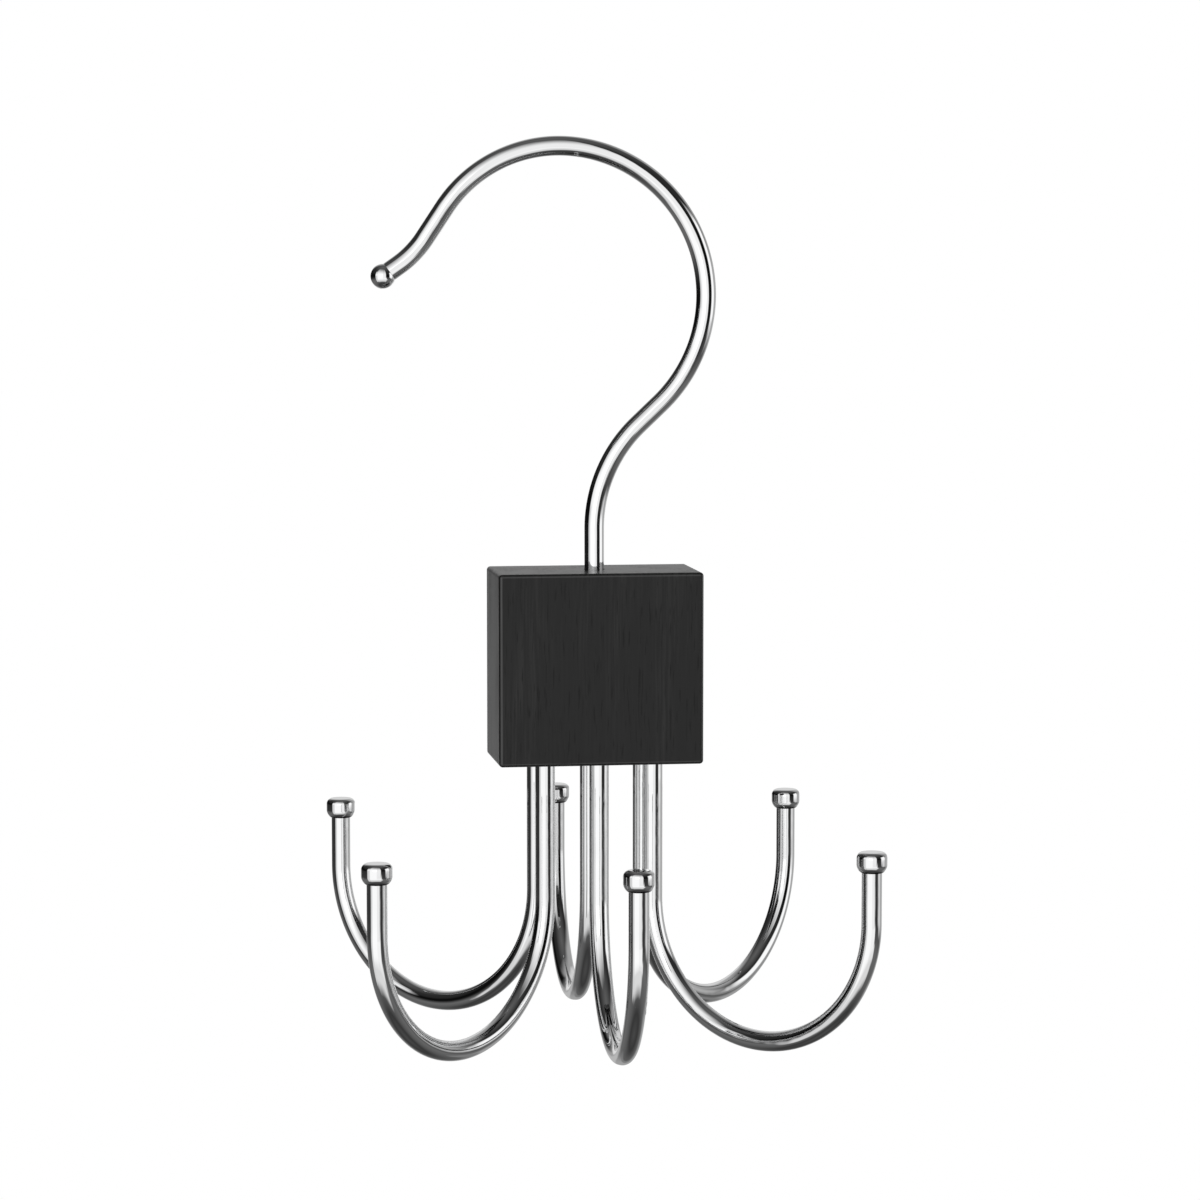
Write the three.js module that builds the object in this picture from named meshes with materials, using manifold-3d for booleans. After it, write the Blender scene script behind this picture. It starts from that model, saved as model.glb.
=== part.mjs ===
// Rotating belt hanger: a wooden block turns below a wire rail hook and carries six wire belt hooks.
// Millimetres, +Z up. The origin is the point under the rail hook's crown where a closet rail bears.
import * as THREE from "three";
import { mergeVertices } from "three/addons/utils/BufferGeometryUtils.js";
import Module from "manifold-3d";

// Wire, the same hard-drawn stock for all seven hooks
const WIRE_DIAMETER = 4;

// Belt hooks: two rows of three, each a straight shank, a half-round bend and a short riser
const COLUMN_SPACING = 11;
const ROW_SPACING = 13.6;
const CORNER_HOOK_SPLAY = THREE.MathUtils.degToRad(45);
const SHANK_LENGTH = 27.5;
const BELT_BEND_RADIUS = 26.4;
const RISER_LENGTH = 10.1;
const SOCKET_DEPTH = 18;

// End caps: flat-topped drums with a rounded rim and a bowl-shaped base, driven on to the risers
const CAP_HEIGHT = 4.05;
const CAP_WALL = 0.94;
const CAP_CROWN_THICKNESS = 1.2;
const CAP_TOP_ROUNDING = 1.2;
const CAP_BOWL_RADIUS = 1.9;
const CAP_LIP = 0.06;

// Wooden block: the wood around the outer shanks sets its plan
const COLUMN_INSET = 9.75;
const ROW_INSET = 4.2;
const BLOCK_HEIGHT = 38.8;
const BLOCK_EDGE_ROUNDING = 0.75;
const BLOCK_CORNER_ROUNDING = 0.85;

// Rail hook: stem, lean to the right, arch back over the swivel axis, flared nose with a ball end
const STEM_ABOVE_BLOCK = 8.3;
const NECK_RADIUS = 29;
const NECK_LEAN = THREE.MathUtils.degToRad(46.6);
const NECK_RUN = 6.1;
const ARCH_BACK_RADIUS = 30;
const ARCH_FRONT_RADIUS = 27.8;
const ARCH_FRONT_TURN = THREE.MathUtils.degToRad(56.5);
const NOSE_RUN = 7.1;
const FLARE_RADIUS = 20.5;
const FLARE_TURN = THREE.MathUtils.degToRad(21.3);
const FLARE_RUN = 3.9;
const BALL_DIAMETER = 5;

// Swivel: the stem's headed foot hangs the block on a washer, and a sleeve lines the bore
const COUNTERBORE_DEPTH = 6;
const BUSH_WALL = 0.7;
const BUSH_TOP_COVER = 8;
const WASHER_THICKNESS = 1;
const WASHER_OVERHANG = 0.3;
const FOOT_OVERHANG = 1;
const FOOT_HEIGHT = 1.8;
const FOOT_DOME = 0.8;

// Clearances, each on one side
const RUNNING_GAP = 0.15;
const PRESS_GAP = 0.1;
const SEAT_GAP = 0.3;
const THRUST_GAP = 0.1;

// Facets: a curve divided into n segments gives an arc 2n facets
const WIRE_SIDES = 16;
const ROUND_SIDES = 20;
const RING_PITCH = 4.8;
const ROUNDING_SEGMENTS = 2;

// Sizes that follow from the ones above
const wireRadius = WIRE_DIAMETER / 2;
const blockWidth = 2 * (COLUMN_SPACING + COLUMN_INSET);
const blockDepth = ROW_SPACING + 2 * ROW_INSET;
const socketRadius = wireRadius + PRESS_GAP;
const capBoreRadius = wireRadius + PRESS_GAP;
const capRadius = capBoreRadius + CAP_WALL;
const capBoreDepth = CAP_HEIGHT - CAP_CROWN_THICKNESS;
const runningRadius = wireRadius + RUNNING_GAP;
const bushRadius = runningRadius + BUSH_WALL;
const bushLength = BLOCK_HEIGHT - COUNTERBORE_DEPTH - BUSH_TOP_COVER;
const footRadius = wireRadius + FOOT_OVERHANG;
const washerRadius = footRadius + WASHER_OVERHANG;
const counterboreRadius = washerRadius + RUNNING_GAP;
const footTop = COUNTERBORE_DEPTH - WASHER_THICKNESS - THRUST_GAP;

const wasm = await Module();
wasm.setup();

// A wire's centreline in the upright X-Z plane, drawn as straight runs and tangent bends
class WireLine extends THREE.Curve {
  constructor(x, z, heading) {
    super();
    this.runs = new THREE.CurvePath();
    this.end = new THREE.Vector2(x, z);
    this.heading = heading;
  }

  straight(length) {
    const ahead = new THREE.Vector2(Math.cos(this.heading), Math.sin(this.heading));
    const end = this.end.clone().addScaledVector(ahead, length);
    this.runs.add(new THREE.LineCurve(this.end, end));
    this.end = end;
    return this;
  }

  // A positive turn goes to the left of the heading
  bend(radius, turn) {
    const side = Math.sign(turn);
    const left = new THREE.Vector2(-Math.sin(this.heading), Math.cos(this.heading));
    const centre = this.end.clone().addScaledVector(left, side * radius);
    const from = this.heading - (side * Math.PI) / 2;
    const arc = new THREE.EllipseCurve(centre.x, centre.y, radius, radius, from, from + turn, turn < 0);
    this.runs.add(arc);
    this.end = arc.getPoint(1);
    this.heading += turn;
    return this;
  }

  getPoint(share, target = new THREE.Vector3()) {
    const point = this.runs.getPoint(share);
    return target.set(point.x, 0, point.y);
  }
}

function toSolid(geometry) {
  const bare = geometry.clone();
  bare.deleteAttribute("normal");
  bare.deleteAttribute("uv");
  const merged = mergeVertices(bare, 1e-4);
  return new wasm.Manifold(
    new wasm.Mesh({
      numProp: 3,
      vertProperties: merged.getAttribute("position").array,
      triVerts: new Uint32Array(merged.index.array),
    }),
  );
}

function toGeometry(solid) {
  const mesh = solid.getMesh();
  const geometry = new THREE.BufferGeometry();
  geometry.setAttribute("position", new THREE.BufferAttribute(mesh.vertProperties, 3));
  geometry.setIndex(new THREE.BufferAttribute(mesh.triVerts, 1));
  geometry.computeVertexNormals();
  return geometry;
}

function wireAlong(line) {
  const section = new THREE.Shape().absarc(0, 0, wireRadius, 0, 2 * Math.PI);
  return new THREE.ExtrudeGeometry(section, {
    extrudePath: line,
    steps: Math.ceil(line.getLength() / RING_PITCH),
    curveSegments: WIRE_SIDES / 2,
    bevelEnabled: false,
  });
}

// A profile of radius and height turned about the Z axis
function turned(profile) {
  return new THREE.LatheGeometry(profile, ROUND_SIDES).rotateX(Math.PI / 2);
}

function cylinderUp(radius, bottom, top) {
  const cylinder = new THREE.CylinderGeometry(radius, radius, top - bottom, ROUND_SIDES);
  return cylinder.rotateX(Math.PI / 2).translate(0, 0, (bottom + top) / 2);
}

function sleeve(innerRadius, outerRadius, bottom, top) {
  const section = [
    new THREE.Vector2(innerRadius, bottom),
    new THREE.Vector2(outerRadius, bottom),
    new THREE.Vector2(outerRadius, top),
    new THREE.Vector2(innerRadius, top),
    new THREE.Vector2(innerRadius, bottom),
  ];
  return turned(section);
}

function beltHookGeometry() {
  const line = new WireLine(0, SOCKET_DEPTH - SEAT_GAP, -Math.PI / 2);
  line.straight(SOCKET_DEPTH - SEAT_GAP + SHANK_LENGTH);
  line.bend(BELT_BEND_RADIUS, Math.PI);
  line.straight(RISER_LENGTH + capBoreDepth - SEAT_GAP);
  return wireAlong(line);
}

// The cap stands with its open base at height zero, and the bowl runs into its upright side
function endCapGeometry() {
  const lipRadius = capBoreRadius + CAP_LIP;
  const bowlTurn = Math.acos(1 - (capRadius - lipRadius) / CAP_BOWL_RADIUS);
  const bowlHeight = CAP_BOWL_RADIUS * Math.sin(bowlTurn);
  const outline = new THREE.Path();
  outline.moveTo(0, capBoreDepth);
  outline.lineTo(capBoreRadius, capBoreDepth);
  outline.lineTo(capBoreRadius, 0);
  outline.lineTo(lipRadius, 0);
  outline.absarc(capRadius - CAP_BOWL_RADIUS, bowlHeight, CAP_BOWL_RADIUS, -bowlTurn, 0);
  const rimCentre = new THREE.Vector2(capRadius - CAP_TOP_ROUNDING, CAP_HEIGHT - CAP_TOP_ROUNDING);
  outline.absarc(rimCentre.x, rimCentre.y, CAP_TOP_ROUNDING, 0, Math.PI / 2);
  outline.lineTo(0, CAP_HEIGHT);
  return turned(outline.getPoints(ROUNDING_SEGMENTS));
}

function beltHookCentres() {
  const places = [];
  const columns = { left: -1, centre: 0, right: 1 };
  const rows = { front: -1, rear: 1 };
  for (const [column, side] of Object.entries(columns)) {
    for (const [row, face] of Object.entries(rows)) {
      places.push({
        name: `${column}_${row}`,
        x: side * COLUMN_SPACING,
        y: (face * ROW_SPACING) / 2,
        angle: face * (Math.PI / 2 - side * CORNER_HOOK_SPLAY),
      });
    }
  }
  return places;
}

function blockGeometry(places) {
  const halfWidth = blockWidth / 2;
  const halfDepth = blockDepth / 2;
  const corner = BLOCK_CORNER_ROUNDING;
  const plan = new THREE.Shape();
  plan.absarc(halfWidth - corner, halfDepth - corner, corner, 0, Math.PI / 2);
  plan.absarc(corner - halfWidth, halfDepth - corner, corner, Math.PI / 2, Math.PI);
  plan.absarc(corner - halfWidth, corner - halfDepth, corner, Math.PI, 1.5 * Math.PI);
  plan.absarc(halfWidth - corner, corner - halfDepth, corner, 1.5 * Math.PI, 2 * Math.PI);
  const timber = new THREE.ExtrudeGeometry(plan, {
    depth: BLOCK_HEIGHT - 2 * BLOCK_EDGE_ROUNDING,
    curveSegments: ROUNDING_SEGMENTS,
    bevelThickness: BLOCK_EDGE_ROUNDING,
    bevelSize: BLOCK_EDGE_ROUNDING,
    bevelOffset: -BLOCK_EDGE_ROUNDING,
    bevelSegments: ROUNDING_SEGMENTS,
  });
  timber.translate(0, 0, BLOCK_EDGE_ROUNDING);
  let block = toSolid(timber);

  for (const place of places) {
    const socket = cylinderUp(socketRadius, -1, SOCKET_DEPTH).translate(place.x, place.y, 0);
    block = block.subtract(toSolid(socket));
  }
  const bushTop = COUNTERBORE_DEPTH + bushLength + SEAT_GAP;
  const steps = [
    cylinderUp(counterboreRadius, -1, COUNTERBORE_DEPTH),
    cylinderUp(bushRadius + PRESS_GAP, -1, bushTop),
    cylinderUp(runningRadius, -1, BLOCK_HEIGHT + 1),
  ];
  for (const step of steps) {
    block = block.subtract(toSolid(step));
  }
  return toGeometry(block);
}

// The foot is upset from the stem: a flat bearing face above and a shallow dome below
function footGeometry() {
  const rim = footTop - FOOT_HEIGHT + FOOT_DOME;
  const dome = new THREE.Path();
  dome.moveTo(0, footTop - FOOT_HEIGHT);
  const rimStart = new THREE.Vector2(footRadius, rim - FOOT_DOME);
  dome.quadraticCurveTo(rimStart.x, rimStart.y, footRadius, rim);
  dome.lineTo(footRadius, footTop);
  dome.lineTo(0, footTop);
  return turned(dome.getPoints(ROUNDING_SEGMENTS));
}

function railHookLine() {
  const foot = footTop - FOOT_HEIGHT / 2;
  const line = new WireLine(0, foot, Math.PI / 2);
  line.straight(BLOCK_HEIGHT + STEM_ABOVE_BLOCK - foot);
  line.bend(NECK_RADIUS, -NECK_LEAN);
  line.straight(NECK_RUN);
  line.bend(ARCH_BACK_RADIUS, NECK_LEAN + Math.PI / 2);
  line.crown = line.end.clone();
  line.bend(ARCH_FRONT_RADIUS, ARCH_FRONT_TURN);
  line.straight(NOSE_RUN);
  line.bend(FLARE_RADIUS, -FLARE_TURN);
  line.straight(FLARE_RUN);
  return line;
}

function railHookGeometry(line) {
  const ball = new THREE.SphereGeometry(BALL_DIAMETER / 2, WIRE_SIDES, WIRE_SIDES / 2);
  ball.translate(line.end.x, 0, line.end.y);
  const wire = toSolid(wireAlong(line));
  return toGeometry(wire.add(toSolid(ball)).add(toSolid(footGeometry())));
}

function makePiece(name, geometry, look) {
  const piece = new THREE.Mesh(geometry, new THREE.MeshStandardMaterial(look));
  piece.name = name;
  return piece;
}

const chrome = { color: 0xe2e4e6, roughness: 0.06, metalness: 1 };
const blackStain = { color: 0x262524, roughness: 0.42, metalness: 0 };
const brass = { color: 0xb5945a, roughness: 0.35, metalness: 1 };
const zinc = { color: 0xb9bdc1, roughness: 0.38, metalness: 1 };

const places = beltHookCentres();
const railLine = railHookLine();
const bushEnd = COUNTERBORE_DEPTH + bushLength;
const washerBase = COUNTERBORE_DEPTH - WASHER_THICKNESS;

const hanger = new THREE.Group();
hanger.add(makePiece("rail_hook", railHookGeometry(railLine), chrome));
hanger.add(makePiece("wood_block", blockGeometry(places), blackStain));
hanger.add(makePiece("swivel_bush", sleeve(runningRadius, bushRadius, COUNTERBORE_DEPTH, bushEnd), brass));
hanger.add(makePiece("thrust_washer", sleeve(runningRadius, washerRadius, washerBase, COUNTERBORE_DEPTH), zinc));

for (const place of places) {
  const hook = new THREE.Group();
  hook.position.set(place.x, place.y, 0);
  hook.rotation.z = place.angle;
  hook.add(makePiece(`belt_hook_${place.name}`, beltHookGeometry(), chrome));
  const cap = makePiece(`end_cap_${place.name}`, endCapGeometry(), chrome);
  cap.position.set(2 * BELT_BEND_RADIUS, 0, RISER_LENGTH - SHANK_LENGTH);
  hook.add(cap);
  hanger.add(hook);
}

const railSeat = railLine.crown.y - wireRadius;
hanger.position.set(-railLine.crown.x, 0, -railSeat);

const part = new THREE.Group();
part.add(hanger);

export default part;
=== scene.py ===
import math

import bpy
import numpy as np
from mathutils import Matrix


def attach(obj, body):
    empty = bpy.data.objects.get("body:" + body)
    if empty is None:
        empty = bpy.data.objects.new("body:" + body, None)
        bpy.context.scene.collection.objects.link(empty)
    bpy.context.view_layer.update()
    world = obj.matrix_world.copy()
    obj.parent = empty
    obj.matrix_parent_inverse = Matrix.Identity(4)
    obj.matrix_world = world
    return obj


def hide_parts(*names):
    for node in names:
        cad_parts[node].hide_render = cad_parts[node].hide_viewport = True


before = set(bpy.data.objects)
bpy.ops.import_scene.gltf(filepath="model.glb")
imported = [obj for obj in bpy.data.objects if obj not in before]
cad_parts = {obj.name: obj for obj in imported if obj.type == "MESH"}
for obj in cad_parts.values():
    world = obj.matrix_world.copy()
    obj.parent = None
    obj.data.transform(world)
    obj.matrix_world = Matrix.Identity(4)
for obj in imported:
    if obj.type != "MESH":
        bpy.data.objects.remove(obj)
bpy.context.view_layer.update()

# Viewpoint. The hanger hangs a little below eye height, about 0.8 m away, and is seen
# slightly from the left and from above through a long lens.
eye_place = (-0.10466, -0.77808, -0.01699)
eye_tilt_down, eye_turn_right = 5.28, 8.26
camera_data = bpy.data.cameras.new("viewpoint")
camera_data.sensor_width = 36.0
camera_data.lens = 116.61
camera = bpy.data.objects.new("viewpoint", camera_data)
camera.location = eye_place
camera.rotation_euler = (math.radians(90 - eye_tilt_down), 0.0, math.radians(-eye_turn_right))
bpy.context.scene.collection.objects.link(camera)
bpy.context.scene.camera = camera


# Rail hook. One length of 4 mm hard-drawn steel wire, bent cold on rollers and chromed bright.
# Its nose ends in an upset ball, and its foot inside the block is headed over to carry the block.
swivel_x = 0.007107
block_underside = -0.122162
block_height = 0.0388
wire_radius = 0.0020
wire_sides = 96
wire_pitch = 0.0003  # between rings along the wire
end_pitch = 0.00004  # the same over the rounded ends
foot_radius = 0.0030
foot_height = 0.0018
foot_dome = 0.0008
foot_step = 0.00001  # so short that the top of the foot is flat
foot_rise = 0.0049  # from the underside of the block to the top of the foot
stem_above = 0.0083  # straight part above the block
neck_radius = 0.029
neck_lean = math.radians(46.6)
neck_run = 0.0061
back_radius = 0.030
back_turn = neck_lean + math.pi / 2
front_radius = 0.0278
front_turn = math.radians(56.5)
nose_run = 0.0071
flare_radius = 0.0205
flare_turn = math.radians(21.3)
flare_run = 0.0039  # to the middle of the ball
ball_radius = 0.0025
ball_seat = 0.0016  # where the finer rings begin, before the middle of the ball
smooth_angle = math.radians(35)


def bent_centreline(start, heading, runs):
    """Points and headings along a wire bent in the X-Z plane. Each run is (length, turn, pitch):
    a straight run has no turn, a bend is an arc of radius length / turn, tangent to the run
    before it, and the points are no further apart than the pitch."""
    points, headings = [np.array([start])], [np.array([heading])]
    corner = np.array(start)
    for length, turn, pitch in runs:
        along = np.linspace(0.0, 1.0, math.ceil(length / pitch) + 1)[1:]
        chord = length * along * np.sinc(turn * along / (2 * math.pi))
        mean = heading + turn * along / 2
        points.append(corner + chord[:, None] * np.column_stack([np.cos(mean), np.sin(mean)]))
        headings.append(heading + turn * along)
        corner, heading = points[-1][-1], heading + turn
    return np.concatenate(points), np.concatenate(headings)


def swept_rings(points, headings, radii, sides):
    """Rings of a round section carried along a centreline: middle + radius * (cos a * up +
    sin a * across), with up at right angles to the heading in the X-Z plane and across
    towards -Y."""
    turn = np.linspace(0.0, 2 * math.pi, sides, endpoint=False)
    middle = np.column_stack([points[:, 0], np.zeros(len(points)), points[:, 1]])
    up = np.column_stack([-np.sin(headings), np.zeros(len(points)), np.cos(headings)])
    across = np.array([0.0, -1.0, 0.0])
    spoke = np.cos(turn)[None, :, None] * up[:, None, :] + np.sin(turn)[None, :, None] * across
    return middle[:, None, :] + radii[:, None, None] * spoke


def rail_radii(points):
    """Radius along the rail hook: a half-round dome and a straight rim at the foot, then the
    wire, then the ball, whose radius follows a circle about a point one ball radius before
    the end."""
    along = np.concatenate([[0.0], np.cumsum(np.linalg.norm(np.diff(points, axis=0), axis=1))])
    left = along[-1] - along
    dome = foot_radius * np.sqrt(np.clip(1 - (1 - along / foot_dome) ** 2, 0, 1))
    rim = np.where(along < foot_height + foot_step / 2, foot_radius, 0.0)
    foot = np.where(along < foot_dome, dome, rim)
    ball = np.sqrt(np.clip(ball_radius ** 2 - (left - ball_radius) ** 2, 0, None))
    wire = np.where(left > ball_radius, wire_radius, 0.0)
    return np.maximum(np.maximum(foot, ball), wire)


def skin(name, rings, ends=None):
    """Mesh object over a grid of rings, quads between neighbours. With ends, the first and last
    ring close on those two points; without, the last ring joins the first, as on a turned loop."""
    count, sides = rings.shape[:2]
    number = np.arange(count * sides).reshape(count, sides)
    upper = number[1:] if ends is not None else np.roll(number, -1, 0)
    lower = number[:-1] if ends is not None else number
    corners = [lower, np.roll(lower, -1, 1), np.roll(upper, -1, 1), upper]
    vertices, faces = rings.reshape(-1, 3), np.stack(corners, -1).reshape(-1, 4).tolist()
    if ends is not None:
        vertices = np.concatenate([vertices, np.array(ends)])
        first, last = number[0], number[-1]
        base = np.column_stack([np.full(sides, count * sides), np.roll(first, -1), first])
        crown = np.column_stack([np.full(sides, count * sides + 1), last, np.roll(last, -1)])
        faces = faces + base.tolist() + crown.tolist()
    mesh = bpy.data.meshes.new(name)
    mesh.from_pydata(vertices.tolist(), [], faces)
    mesh.shade_smooth()
    mesh.set_sharp_from_angle(angle=smooth_angle)
    piece = bpy.data.objects.new(name, mesh)
    bpy.context.scene.collection.objects.link(piece)
    return piece


def shader_node(tree, kind, inputs, **settings):
    """A node of that kind in the tree. A socket given for an input is linked to it; anything
    else is its value."""
    made = tree.nodes.new(kind)
    for key, value in settings.items():
        setattr(made, key, value)
    for key, value in inputs.items():
        if isinstance(value, bpy.types.NodeSocket):
            tree.links.new(value, made.inputs[key])
        else:
            made.inputs[key].default_value = value
    return made


def worked(tree, operation, *values, kind="ShaderNodeMath"):
    """Result of one math node, or vector math node, with that operation on the values."""
    return shader_node(tree, kind, dict(enumerate(values)), operation=operation).outputs[0]


def between(tree, value, low, high, first=0.0, last=1.0, **settings):
    """First at low and under, last at high and over, and a straight line from one to the other
    unless the settings say otherwise."""
    ends = {"From Min": low, "From Max": high, "To Min": first, "To Max": last}
    return shader_node(tree, "ShaderNodeMapRange", {"Value": value, **ends}, **settings).outputs[0]


def noise(tree, place, scale, detail):
    """Noise with so many waves to the unit of place. Its colour is three noises at once."""
    return shader_node(tree, "ShaderNodeTexNoise",
                       {"Vector": place, "Scale": scale, "Detail": detail}).outputs


def plating_group():
    """Effect shared by the metal pieces. Cloud is a broad, faint haze left by polishing and
    handling, Ripple is the slow unevenness of the surface under the plating, and Mark is a
    scatter of short fine rubs."""
    group = bpy.data.node_groups.new("plating_haze", "ShaderNodeTree")
    group.interface.new_socket("Place", in_out="INPUT", socket_type="NodeSocketVector")
    for name in ("Cloud", "Ripple", "Mark"):
        group.interface.new_socket(name, in_out="OUTPUT", socket_type="NodeSocketFloat")
    place = group.nodes.new("NodeGroupInput").outputs["Place"]
    rubbed_way = shader_node(group, "ShaderNodeMapping", {
        "Vector": place, "Rotation": (0.5, 0.4, 0.0), "Scale": (3600.0, 3600.0, 420.0)}).outputs[0]
    shader_node(group, "NodeGroupOutput", {
        "Cloud": noise(group, place, 160.0, 4.0)["Fac"],
        "Ripple": noise(group, place, 210.0, 1.0)["Fac"],
        "Mark": noise(group, rubbed_way, 1.0, 2.0)["Fac"]})
    return group


plating_haze = plating_group()


def clouded_metal(name, bright, hazed):
    """A metal whose colour goes from bright to hazed with the cloud of the plating haze.
    Gives the material, its shader and the outputs of the haze."""
    finish = bpy.data.materials.new(name)
    finish.use_nodes = True
    tree = finish.node_tree
    metal = tree.nodes["Principled BSDF"]
    metal.inputs["Metallic"].default_value = 1.0
    place = shader_node(tree, "ShaderNodeTexCoord", {}).outputs["Object"]
    haze = shader_node(tree, "ShaderNodeGroup", {}, node_tree=plating_haze)
    tree.links.new(place, haze.inputs["Place"])
    tint = shader_node(tree, "ShaderNodeValToRGB", {"Fac": haze.outputs["Cloud"]})
    for stop, position, colour in zip(tint.color_ramp.elements, (0.3, 0.7), (bright, hazed)):
        stop.position, stop.color = position, (*colour, 1.0)
    tree.links.new(tint.outputs["Color"], metal.inputs["Base Color"])
    return finish, metal, haze.outputs


def chrome_finish(name, mirror, dull, ripple_depth):
    """Bright chrome: a metal that greys by a few per cent in the hazier places, whose roughness
    goes from mirror to dull with the haze and its rubs, and whose ripple is a bump of
    ripple_depth metres."""
    finish, metal, haze = clouded_metal(name, (0.90, 0.902, 0.905), (0.87, 0.873, 0.877))
    tree = finish.node_tree
    hazy = between(tree, haze["Cloud"], 0.4, 0.8, mirror, dull)
    rubbed = between(tree, haze["Mark"], 0.62, 0.8, mirror, dull)
    tree.links.new(worked(tree, "MAXIMUM", hazy, rubbed), metal.inputs["Roughness"])
    bump = shader_node(tree, "ShaderNodeBump", {
        "Height": haze["Ripple"], "Strength": 1.0, "Distance": ripple_depth})
    tree.links.new(bump.outputs["Normal"], metal.inputs["Normal"])
    return finish


chromed_wire = chrome_finish("chromed_wire", mirror=0.02, dull=0.07, ripple_depth=0.00005)
rail_points, rail_headings = bent_centreline(
    (swivel_x, block_underside + foot_rise - foot_height), math.pi / 2,
    [(foot_dome, 0.0, end_pitch),
     (foot_height - foot_dome, 0.0, wire_pitch),
     (foot_step, 0.0, wire_pitch),
     (block_height + stem_above - foot_rise - foot_step, 0.0, wire_pitch),
     (neck_radius * neck_lean, -neck_lean, wire_pitch),
     (neck_run, 0.0, wire_pitch),
     (back_radius * back_turn, back_turn, wire_pitch),
     (front_radius * front_turn, front_turn, wire_pitch),
     (nose_run, 0.0, wire_pitch),
     (flare_radius * flare_turn, -flare_turn, wire_pitch),
     (flare_run - ball_seat, 0.0, wire_pitch),
     (ball_seat + ball_radius, 0.0, end_pitch)])
rail_rings = swept_rings(rail_points, rail_headings, rail_radii(rail_points), wire_sides)
rail_hook = skin("rail_hook_wire", rail_rings[1:-1], ends=(rail_rings[0, 0], rail_rings[-1, 0]))
rail_hook.data.materials.append(chromed_wire)
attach(rail_hook, "rail_hook_body")
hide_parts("rail_hook")


# Wooden block. Solid close-grained hardwood, sawn with the grain upright, edges eased by hand,
# stained black and sealed with a thin satin lacquer. It is bored from below for the swivel and
# the six hooks.
block_size = np.array([0.0415, 0.0220, block_height])
block_middle = np.array([swivel_x, 0.0, block_underside + block_height / 2])
eased_edge = 0.00075
edge_lines = 7  # grid lines over half an eased edge
face_lines = 9  # grid lines over a flat face
edge_margin = 0.00015  # from an eased edge to the first of those
weld_steps = 1e7  # to the metre; points within one step are the same
drill_sides = 48
drill_past = 0.001  # how far a drill runs clear of the block
counterbore_radius = 0.00345
counterbore_depth = 0.006
sleeve_bore = 0.00295
sleeve_bore_top = 0.0311
stem_bore = 0.00215
socket_bore = 0.0021
socket_depth = 0.018
column_spacing = 0.011
row_offset = 0.0068
corner_splay = 45  # degrees
light_stain = (0.0207, 0.0205, 0.0202, 1.0)
dark_stain = (0.0080, 0.0080, 0.0080, 1.0)
pore_black = (0.002, 0.002, 0.002, 1.0)
wood_sharp_angle = math.radians(30)


def eased_block(name, size, middle, rounding):
    """Box with eased edges: six flat grids make a box's skin, and each point is drawn in to the
    inner box, then pushed out again by the rounding along the line that joins the two."""
    half = size / 2
    inner = half - rounding
    rise = rounding * np.tan(np.linspace(0.0, math.pi / 4, edge_lines))
    lines = []
    for reach in inner:
        flat_part = np.linspace(edge_margin - reach, reach - edge_margin, face_lines)
        lines.append(np.concatenate([-(reach + rise)[::-1], flat_part, reach + rise]))
    points, quads, total = [], [], 0
    for axis in range(3):
        second, third = (axis + 1) % 3, (axis + 2) % 3
        for side in (-1.0, 1.0):
            across, along = np.meshgrid(lines[second], lines[third], indexing="ij")
            flat = np.full(across.shape + (3,), side * half[axis])
            flat[..., second], flat[..., third] = across, along
            core = np.clip(flat, -inner, inner)
            out = flat - core
            eased = core + rounding * out / np.linalg.norm(out, axis=-1, keepdims=True)
            points.append(eased.reshape(-1, 3))
            number = total + np.arange(across.size).reshape(across.shape)
            total += across.size
            corners = [number[:-1, :-1], number[1:, :-1], number[1:, 1:], number[:-1, 1:]]
            quad = np.stack(corners, -1).reshape(-1, 4)
            quads.append(quad if side > 0 else quad[:, ::-1])
    points = np.concatenate(points)
    cells = np.round(points * weld_steps).astype(np.int64)
    _, kept, joined = np.unique(cells, axis=0, return_index=True, return_inverse=True)
    faces = joined.reshape(-1)[np.concatenate(quads)]
    mesh = bpy.data.meshes.new(name)
    mesh.from_pydata((points[kept] + middle).tolist(), [], faces.tolist())
    block = bpy.data.objects.new(name, mesh)
    bpy.context.scene.collection.objects.link(block)
    return block


def turned_rings(profile, place, sides):
    """Rings of a profile turned about an upright axis: each (radius, height) becomes a circle at
    that height above place. The first corner is half a step round, so that none falls on a
    middle line of the block."""
    turn = (np.arange(sides) + 0.5) * 2 * math.pi / sides
    radius, height = np.array(profile).T
    x = place[0] + radius[:, None] * np.cos(turn)
    y = place[1] + radius[:, None] * np.sin(turn)
    z = place[2] + np.repeat(height[:, None], sides, 1)
    return np.stack([x, y, z], -1)


def bored(block, profile, place):
    """Cuts a turned hole out of the block. Its profile runs from the lower end to the upper."""
    rings = turned_rings(profile, place, drill_sides)
    drill = skin("drill", rings, ends=(rings[0].mean(0), rings[-1].mean(0)))
    cut = block.modifiers.new("bore", "BOOLEAN")
    cut.operation, cut.solver, cut.object = "DIFFERENCE", "EXACT", drill
    seen = block.evaluated_get(bpy.context.evaluated_depsgraph_get())
    block.data = bpy.data.meshes.new_from_object(seen)
    block.modifiers.clear()
    bpy.data.objects.remove(drill)


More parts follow.
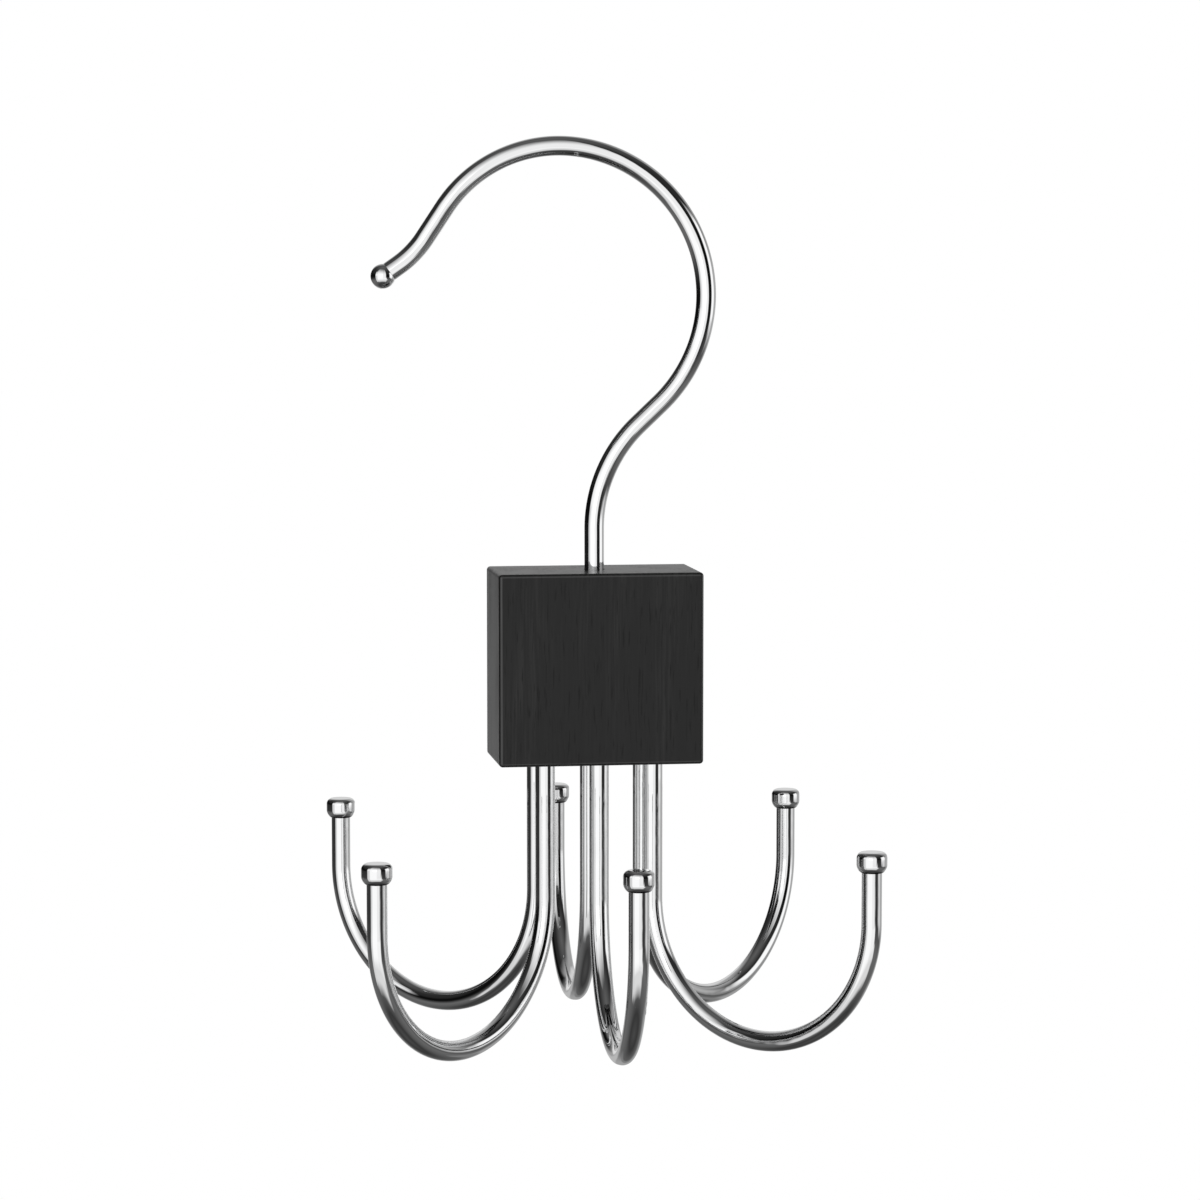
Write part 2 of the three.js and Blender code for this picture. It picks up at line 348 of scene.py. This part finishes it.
def upright_grain(tree, place):
    """Grain of the block, all of it stretched along Z and bent a little by a slow noise. Streaks
    are long fibres, shown most where a broad band noise is high. Pores are short dashes, cut off
    so that few are left."""
    sway = noise(tree, place, 45.0, 2.0)["Color"]
    centred = worked(tree, "SUBTRACT", sway, (0.5, 0.5, 0.5), kind="ShaderNodeVectorMath")
    bent = worked(tree, "MULTIPLY_ADD", centred, (0.0010, 0.0010, 0.0), place,
                  kind="ShaderNodeVectorMath")

    def stretched(waves, detail):
        """Noise on the bent coordinates, with so many waves to the metre along X, Y and Z."""
        spread = shader_node(tree, "ShaderNodeMapping", {"Vector": bent, "Scale": waves})
        return noise(tree, spread.outputs[0], 1.0, detail)["Fac"]

    fibres = between(tree, stretched((1900.0, 1900.0, 55.0), 2.0), 0.42, 0.72)
    bands = between(tree, stretched((170.0, 170.0, 20.0), 2.0), 0.45, 0.64, 0.15, 1.0)
    pores = between(tree, stretched((2600.0, 2600.0, 190.0), 1.0), 0.60, 0.74)
    return worked(tree, "MULTIPLY", fibres, bands), pores


def lacquer_bead(tree, place):
    """Mask of the thin bead where lacquer gathers along the arrises of the two large faces.
    Depths below the faces are half the size less the distance from the middle: the lesser of
    those along X and Z has to be inside the easing, and the one along Y inside its outer part."""
    away = worked(tree, "SUBTRACT", place, tuple(block_middle), kind="ShaderNodeVectorMath")
    away = worked(tree, "ABSOLUTE", away, kind="ShaderNodeVectorMath")
    depth = worked(tree, "SUBTRACT", tuple(block_size / 2), away, kind="ShaderNodeVectorMath")
    x, y, z = shader_node(tree, "ShaderNodeSeparateXYZ", {"Vector": depth}).outputs
    rim = worked(tree, "MINIMUM", x, z)
    near_rim = between(tree, rim, 0.78 * eased_edge, 0.97 * eased_edge, 1.0, 0.0)
    near_face = between(tree, y, 0.25 * eased_edge, 0.45 * eased_edge, 1.0, 0.0)
    return worked(tree, "MULTIPLY", near_rim, near_face)


wood_block = eased_block("stained_wood_block", block_size, block_middle, eased_edge)
axis_foot = (swivel_x, 0.0, block_underside)
bored(wood_block, [(counterbore_radius, -drill_past), (counterbore_radius, counterbore_depth),
                   (sleeve_bore, counterbore_depth), (sleeve_bore, sleeve_bore_top),
                   (stem_bore, sleeve_bore_top), (stem_bore, block_height + drill_past)], axis_foot)
hook_places = [(f"{column}_{row}", swivel_x + column_spacing * side, row_offset * face,
                face * (90 - corner_splay * side))
               for column, side in (("left", -1), ("centre", 0), ("right", 1))
               for row, face in (("front", -1), ("rear", 1))]
for _, shank_x, shank_y, _ in hook_places:
    bored(wood_block, [(socket_bore, -drill_past), (socket_bore, socket_depth)],
          (shank_x, shank_y, block_underside))
wood_block.data.shade_smooth()
wood_block.data.set_sharp_from_angle(angle=wood_sharp_angle)

stained_wood = bpy.data.materials.new("stained_wood")
stained_wood.use_nodes = True
tree = stained_wood.node_tree
lacquer = tree.nodes["Principled BSDF"]
lacquer.inputs["Specular IOR Level"].default_value = 0.26
lacquer.inputs["Coat Roughness"].default_value = 0.10
place = shader_node(tree, "ShaderNodeTexCoord", {}).outputs["Object"]
streaks, pores = upright_grain(tree, place)
tone = shader_node(tree, "ShaderNodeValToRGB", {"Fac": streaks})
tone.color_ramp.elements[0].color = dark_stain
tone.color_ramp.elements[1].color = light_stain
first_colour, second_colour, mixed_colour = 6, 7, 2  # sockets of a mix node
pored_tone = shader_node(tree, "ShaderNodeMix", {
    "Factor": pores, first_colour: tone.outputs["Color"], second_colour: pore_black},
    data_type="RGBA")
tree.links.new(pored_tone.outputs[mixed_colour], lacquer.inputs["Base Color"])
tree.links.new(between(tree, streaks, 0.0, 1.0, 0.30, 0.42), lacquer.inputs["Roughness"])
tree.links.new(lacquer_bead(tree, place), lacquer.inputs["Coat Weight"])
grain_bump = shader_node(tree, "ShaderNodeBump", {
    "Height": worked(tree, "SUBTRACT", streaks, pores), "Strength": 0.6, "Distance": 0.00001})
tree.links.new(grain_bump.outputs["Normal"], lacquer.inputs["Normal"])

wood_block.data.materials.clear()
wood_block.data.materials.append(stained_wood)
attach(wood_block, "block_body")
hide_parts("wood_block")


# Swivel sleeve and washer. A drawn brass tube pressed up the bore keeps the wire off the wood. A
# zinc-plated steel washer sits between the shoulder of the counterbore and the headed foot of the
# stem, which carries it.
sleeve_radius = 0.00285
sleeve_top = 0.0308
washer_radius = 0.0033
washer_foot = 0.005
corner_cut = 0.0001
turned_sides = 64


def plain_metal(name, bright, hazed, polished, dull):
    """Handled metal: its colour wanders with the cloud of the plating haze, and its roughness
    goes from polished to dull with the rubs."""
    finish, metal, haze = clouded_metal(name, bright, hazed)
    rough = between(finish.node_tree, haze["Mark"], 0.0, 1.0, polished, dull)
    finish.node_tree.links.new(rough, metal.inputs["Roughness"])
    return finish


def turned_loop(name, inner, outer, bottom, top, cut):
    """Ring turned from a rectangle whose four corners are cut back by cut."""
    corners = [(inner, bottom + cut), (inner + cut, bottom),
               (outer - cut, bottom), (outer, bottom + cut),
               (outer, top - cut), (outer - cut, top),
               (inner + cut, top), (inner, top - cut)]
    return skin(name, turned_rings(corners, axis_foot, turned_sides))


drawn_brass = plain_metal("drawn_brass", (0.62, 0.46, 0.23), (0.50, 0.36, 0.17), 0.25, 0.4)
swivel_bush = turned_loop("swivel_sleeve", stem_bore, sleeve_radius,
                          counterbore_depth, sleeve_top, corner_cut)
swivel_bush.data.materials.append(drawn_brass)
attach(swivel_bush, "block_body")
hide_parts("swivel_bush")

zinc_plate = plain_metal("zinc_plate", (0.62, 0.63, 0.65), (0.48, 0.49, 0.50), 0.28, 0.45)
thrust_washer = turned_loop("swivel_washer", stem_bore, washer_radius,
                            washer_foot, counterbore_depth, corner_cut)
thrust_washer.data.materials.append(zinc_plate)
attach(thrust_washer, "block_body")
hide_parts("thrust_washer")


# Belt hooks. Six J-shaped lengths of the same chromed wire, cut square, bent over one half-round
# former and driven into blind holes under the block: corner ones splayed by 45 degrees, middle
# ones square to it.
belt_radius = 0.0264
shank_length = 0.0275
riser_length = 0.0101
socket_reach = 0.0177  # wire inside the block
cap_reach = 0.00255  # wire inside the cap


def turned_about(rings, angle, place):
    """Rings turned about Z by angle in degrees and moved to place."""
    cos, sin = math.cos(math.radians(angle)), math.sin(math.radians(angle))
    spin = np.array([[cos, sin, 0.0], [-sin, cos, 0.0], [0.0, 0.0, 1.0]])
    return rings @ spin + np.array(place)


belt_points, belt_headings = bent_centreline(
    (0.0, socket_reach), -math.pi / 2,
    [(socket_reach + shank_length, 0.0, wire_pitch),
     (belt_radius * math.pi, math.pi, wire_pitch),
     (riser_length + cap_reach, 0.0, wire_pitch)])
belt_radii = np.full(len(belt_points), wire_radius)
belt_rings = swept_rings(belt_points, belt_headings, belt_radii, wire_sides)
for name, shank_x, shank_y, angle in hook_places:
    rings = turned_about(belt_rings, angle, (shank_x, shank_y, block_underside))
    belt_hook = skin(f"belt_hook_wire_{name}", rings, ends=(rings[0].mean(0), rings[-1].mean(0)))
    belt_hook.data.materials.append(chromed_wire)
    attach(belt_hook, "block_body")
    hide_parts(f"belt_hook_{name}")


# End caps. Small steel drums turned with a flat top and rounded rims, drilled from below, chromed
# and driven on to the ends of the belt hooks so that a belt can't snag or slip off.
cap_radius = 0.00304
cap_height = 0.00405
cap_rim = 0.0012
cap_bowl = 0.0019
cap_bore = 0.0021
cap_bore_depth = 0.00285
cap_lip = 0.00006  # flat ring round the mouth of the bore
bore_cut = 0.0001  # corner at the ceiling of the bore
bore_mouth = 0.00004  # corner at the mouth of the bore
ceiling_ring = 0.0004  # radius of the one ring on the ceiling
top_rings = (0.0013, 0.0006)  # radii of the rings on the flat top
bowl_steps = 15
rim_steps = 17
# Painted shade at the foot of each cap: the metal's colour is darkened in the crease between these
# two heights.
crease_foot = 0.0003  # above the foot of the cap, as the next
crease_head = 0.00045
crease_shade_left = 0.05  # share of the metal's colour that is left


def paint_crease_shade(finish, foot, head):
    """Painted shade in the crease at the foot of a cap: the metal's colour darkens from head down
    to foot, standing in for the shade that falls there."""
    tree = finish.node_tree
    colour = tree.nodes["Principled BSDF"].inputs["Base Color"]
    place = shader_node(tree, "ShaderNodeTexCoord", {}).outputs["Object"]
    level = shader_node(tree, "ShaderNodeSeparateXYZ", {"Vector": place}).outputs["Z"]
    # Painted shade: near the foot the colour is scaled down to a small share of itself.
    lit_share = between(tree, level, foot, head, crease_shade_left, 1.0)
    shaded_colour = shader_node(tree, "ShaderNodeVectorMath", {
        0: colour.links[0].from_socket, "Scale": lit_share}, operation="SCALE")
    tree.links.new(shaded_colour.outputs[0], colour)


def cap_profile():
    """Outline of the cap from the middle of its bore's ceiling, down the bore, up the bowl-shaped
    side and in over the flat top. The bowl is part of a circle that meets the side without a
    corner; the rim is a quarter circle."""
    lip = cap_bore + cap_lip
    low = np.linspace(-math.acos(1 - (cap_radius - lip) / cap_bowl), 0.0, bowl_steps)
    high = np.linspace(0.0, math.pi / 2, rim_steps)
    bore = [(ceiling_ring, cap_bore_depth), (cap_bore - bore_cut, cap_bore_depth),
            (cap_bore, cap_bore_depth - bore_cut), (cap_bore, bore_mouth)]
    bowl = np.column_stack([cap_radius - cap_bowl + cap_bowl * np.cos(low),
                            cap_bowl * (np.sin(low) - np.sin(low[0]))])
    rim = np.column_stack([cap_radius - cap_rim + cap_rim * np.cos(high),
                           cap_height - cap_rim + cap_rim * np.sin(high)])
    top = [(radius, cap_height) for radius in top_rings]
    return np.concatenate([bore, bowl, rim, top])


chromed_cap = chrome_finish("chromed_cap", mirror=0.02, dull=0.07, ripple_depth=0.00003)
cap_foot = block_underside - shank_length + riser_length
# Paints shade into the crease at the foot of each cap.
paint_crease_shade(chromed_cap, cap_foot + crease_foot, cap_foot + crease_head)
cap_seat = np.array([2 * belt_radius, 0.0, riser_length - shank_length])
for name, shank_x, shank_y, angle in hook_places:
    place = turned_about(cap_seat, angle, (shank_x, shank_y, block_underside))
    ends = (place + np.array([0, 0, cap_bore_depth]), place + np.array([0, 0, cap_height]))
    rings = turned_rings(cap_profile(), place, turned_sides)
    end_cap = skin(f"end_cap_drum_{name}", rings, ends=ends)
    end_cap.data.materials.append(chromed_cap)
    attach(end_cap, "block_body")
    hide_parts(f"end_cap_{name}")


# Studio. A white floor far below the hanging part and an even white sky give plain light without
# hard shadows. A ring of soft panels with dark gaps stands round it, and only glossy surfaces
# pick it up.
floor_reach = 40.0
floor_level = -1.6
white = (1.0, 1.0, 1.0, 1.0)
floor_mesh = bpy.data.meshes.new("pale_floor")
floor_mesh.from_pydata([(-floor_reach, -floor_reach, floor_level),
                        (floor_reach, -floor_reach, floor_level),
                        (floor_reach, floor_reach, floor_level),
                        (-floor_reach, floor_reach, floor_level)], [], [(0, 1, 2, 3)])
floor = bpy.data.objects.new("pale_floor", floor_mesh)
bpy.context.scene.collection.objects.link(floor)
floor_paper = bpy.data.materials.new("floor_paper")
floor_paper.use_nodes = True
paper = floor_paper.node_tree.nodes["Principled BSDF"]
paper.inputs["Base Color"].default_value = white
paper.inputs["Roughness"].default_value = 1.0
paper.inputs["Specular IOR Level"].default_value = 0.0
floor_mesh.materials.append(floor_paper)
floor.visible_glossy = False

world = bpy.data.worlds.new("white_sky")
world.use_nodes = True
world.node_tree.nodes["Background"].inputs["Color"].default_value = white
world.node_tree.nodes["Background"].inputs["Strength"].default_value = 1.0
bpy.context.scene.world = world

tent_radius = 4.0
tent_steps = 33  # from pole to pole
tent_turn = np.linspace(-math.pi / 2, math.pi / 2, tent_steps)[1:-1]
tent_profile = tent_radius * np.column_stack([np.cos(tent_turn), np.sin(tent_turn)])
tent = skin("panel_ring", turned_rings(tent_profile, (0.0, 0.0, 0.0), turned_sides),
            ends=((0.0, 0.0, -tent_radius), (0.0, 0.0, tent_radius)))
tent.visible_camera = False
tent.visible_diffuse = False
tent.visible_transmission = False
tent.visible_volume_scatter = False
tent.visible_shadow = False

panel_light = bpy.data.materials.new("panel_light")
panel_light.use_nodes = True
panel_light.cycles.emission_sampling = "NONE"
tree = panel_light.node_tree
tree.nodes.clear()
place = shader_node(tree, "ShaderNodeTexCoord", {}).outputs["Object"]
direction = worked(tree, "NORMALIZE", place, kind="ShaderNodeVectorMath")
parts = shader_node(tree, "ShaderNodeSeparateXYZ", {"Vector": direction}).outputs
bearing = worked(tree, "ARCTAN2", parts["X"], worked(tree, "MULTIPLY", parts["Y"], -1.0))
height = worked(tree, "ARCSINE", parts["Z"])


def soft_step(value, angle, soft, rising):
    """Smooth step over an angle in degrees, soft degrees to either side of it: up from 0 to 1,
    or down."""
    first, last = (0.0, 1.0) if rising else (1.0, 0.0)
    return between(tree, value, math.radians(angle - soft), math.radians(angle + soft),
                   first, last, interpolation_type="SMOOTHSTEP")


turn_before = 60


def bearing_from(left):
    """Bearing counted upwards from turn_before degrees before the panel's left edge, so that a
    panel can cross the back."""
    first = math.radians(left - turn_before)
    return worked(tree, "WRAP", bearing, first + 2 * math.pi, first)


def panel(behind, left, right, low, high, level):
    """The greater of what is behind and a panel between two bearings and two heights, which is
    the product of four soft steps and its level. Each edge is (angle, softness) in degrees,
    and bearings run to the right from straight ahead."""
    across = bearing_from(left[0])
    shown = level
    for value, edge, rising in ((across, left, True), (across, right, False),
                                (height, low, True), (height, high, False)):
        shown = worked(tree, "MULTIPLY", soft_step(value, *edge, rising), shown)
    return worked(tree, "MAXIMUM", behind, shown)


# The gaps between the panels, as (height, grey), darkest a little above the middle.
gap_nadir, gap_zenith = 0.070, 0.115
gap_greys = ((-68, 0.042), (-50, 0.107), (-30, 0.145), (-18, 0.075), (-11, 0.035), (-6, 0.012),
             (-2, 0.006), (8, 0.003), (25, 0.022), (40, 0.025), (55, 0.055), (70, 0.083))
gaps = shader_node(tree, "ShaderNodeValToRGB", {
    "Fac": between(tree, height, -math.pi / 2, math.pi / 2)})
gaps.color_ramp.elements[0].color = (gap_nadir, gap_nadir, gap_nadir, 1.0)
gaps.color_ramp.elements[1].color = (gap_zenith, gap_zenith, gap_zenith, 1.0)
for angle, grey in gap_greys:
    gaps.color_ramp.elements.new((angle + 90) / 180).color = (grey, grey, grey, 1.0)

# The panels, as left, right, low and high edge and level: first those in front, then those to
# the right, then those behind.
light = gaps.outputs["Color"]
for left, right, low, high, level in (
        ((-64, 12), (5, 16), (-38, 15), (49, 35), 1.08),
        ((-77.5, 4), (-20, 10), (-45, 5), (36, 6), 0.72),
        ((-78, 4), (-30, 10), (2, 5), (24, 6), 0.97),
        ((-54, 20), (22.5, 3), (-28, 20), (47, 35), 0.95),
        ((-64, 14), (30, 4), (-33, 8), (-12, 3), 1.0),
        ((-64, 14), (40, 5), (-36, 6), (-24, 3), 0.86),
        ((-64, 14), (34, 10), (-49, 9), (-28, 3), 0.77),
        ((-40, 10), (-4, 5), (-9, 5), (24, 8), 1.5),
        ((60, 5), (97, 8), (-11.5, 4.5), (26, 5), 1.08),
        ((70, 8), (97, 8), (-17, 6), (5, 5), 0.72),
        ((99, 8), (189, 12), (-19, 8), (19, 18), 0.45),
        ((145, 8), (190, 6), (2, 4), (35, 15), 0.69),
        ((110, 19), (190, 12), (-40, 3), (57, 21), 0.37),
        ((110, 19), (204, 20), (20, 8), (57, 21), 0.37),
        ((110, 19), (204, 20), (-40, 3), (-6, 5), 0.37),
        ((140, 5), (161, 4), (-26, 5), (-2, 3), 1.0),
        ((158, 4), (178, 3), (-27, 5), (-8, 3), 1.1),
        ((176, 4), (203, 11), (-27, 5), (-12, 5), 0.50),
        ((179, 2), (188, 3), (-16, 5), (8, 5), 0.76),
        ((208, 8), (250, 10), (-28, 5), (-13, 5), 0.13),
        ((98, 8), (215, 20), (-47, 5), (-30, 8), 0.22)):
    light = panel(light, left, right, low, high, level)
glow = shader_node(tree, "ShaderNodeEmission", {"Color": light})
shader_node(tree, "ShaderNodeOutputMaterial", {"Surface": glow.outputs[0]})
tent.data.materials.append(panel_light)

bpy.context.scene.view_settings.view_transform = "Standard"
